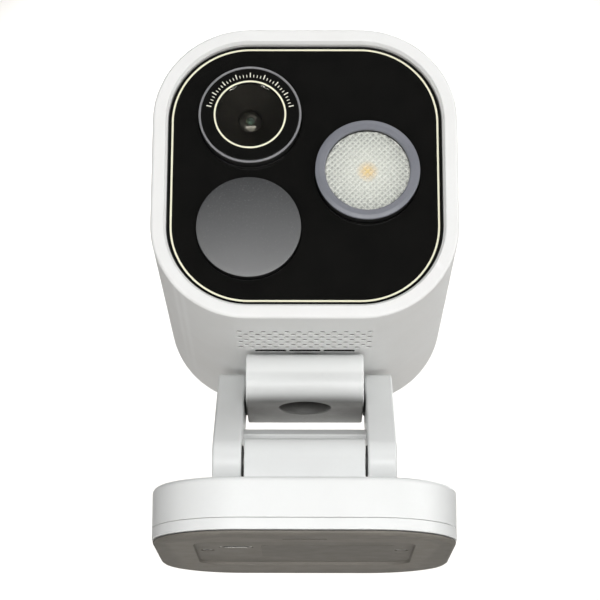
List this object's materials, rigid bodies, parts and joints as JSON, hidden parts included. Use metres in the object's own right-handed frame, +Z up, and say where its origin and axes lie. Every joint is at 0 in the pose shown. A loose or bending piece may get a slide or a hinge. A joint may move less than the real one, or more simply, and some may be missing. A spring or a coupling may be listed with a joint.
{
  "type": "spotlight security camera",
  "caption": "Square security camera head with a round lens, motion sensor window and spotlight, on a folding two-axis arm and a square base plate.",
  "frame": {"origin": "centre of the whole object's box, on the plane that the base stands on", "axes": "+Z up from the base, the camera looks along -Y, +X to the right as seen from the front"},
  "size_m": [0.08, 0.106, 0.137],
  "materials": {
    "white_plastic": "fine moulded satin",
    "foot_grey": "warm grey, fine texture",
    "label_film": "blank satin film",
    "steel": "plain steel",
    "black_plastic": "black, matte",
    "board": "glass fibre circuit board",
    "nylon": "natural nylon",
    "rubber": "black moulded rubber",
    "black_glass": "glossy, printed black from behind",
    "lens_glass": "coated optical glass",
    "bezel_grey": "satin blue grey",
    "sensor_grey": "matte, finely speckled",
    "diffuser": "clear prismatic grid",
    "aluminium": "plain",
    "led_yellow": "phosphor yellow"
  },
  "bodies": {
    "base": {"base_housing": "white_plastic", "base_ring": "white_plastic", "foot_plate": "foot_grey", "base_label": "label_film", "base_screw_left": "steel", "base_screw_right": "steel", "service_port": "steel", "port_tongue": "black_plastic", "base_board": "board"},
    "link": {"link_frame": "white_plastic", "hinge_pin_lower": "steel", "hinge_pin_upper": "steel", "hinge_cap_lower_left": "white_plastic", "hinge_cap_lower_right": "white_plastic", "hinge_cap_upper_left": "white_plastic", "hinge_cap_upper_right": "white_plastic", "hinge_washer_lower_left": "nylon", "hinge_washer_lower_right": "nylon", "hinge_washer_upper_left": "nylon", "hinge_washer_upper_right": "nylon"},
    "knuckle": {"swivel_block": "white_plastic", "swivel_washer": "nylon"},
    "head": {"head_shell": "white_plastic", "rear_cover": "white_plastic", "rear_gasket": "rubber", "rear_screw_lower_left": "steel", "rear_screw_lower_right": "steel", "rear_screw_upper_left": "steel", "rear_screw_upper_right": "steel", "service_cover": "rubber", "front_glass": "black_glass", "front_carrier": "black_plastic", "glass_gasket": "rubber", "lens_bezel": "bezel_grey", "lens_window": "black_glass", "lens_barrel": "black_plastic", "lens_element": "lens_glass", "image_sensor": "black_plastic", "camera_board": "board", "sensor_window": "sensor_grey", "motion_sensor": "steel", "sensor_board": "board", "spotlight_bezel": "bezel_grey", "spotlight_lens": "diffuser", "spotlight_reflector": "aluminium", "led_chip": "led_yellow", "led_board": "aluminium", "heat_sink": "aluminium", "main_board": "board", "driver_board": "board", "inner_chassis": "black_plastic", "speaker": "black_plastic", "microphone": "steel", "antenna": "board", "swivel_insert": "aluminium", "swivel_screw": "steel"}
  },
  "joints": [
    {"name": "base_tilt", "type": "hinge", "parent": "base", "child": "link", "pos_m": [0, -0.0145, 0.0243], "axis": [1, 0, 0], "range_deg": [-35, 45]},
    {"name": "head_tilt", "type": "hinge", "parent": "link", "child": "knuckle", "pos_m": [0, 0.01477, 0.04758], "axis": [1, 0, 0], "range_deg": [-55, 14]},
    {"name": "head_pan", "type": "hinge", "parent": "knuckle", "child": "head", "pos_m": [0, -0.00142, 0.0482], "axis": [0, 0.0384, 0.9993], "range_deg": [-60, 60]}
  ]
}
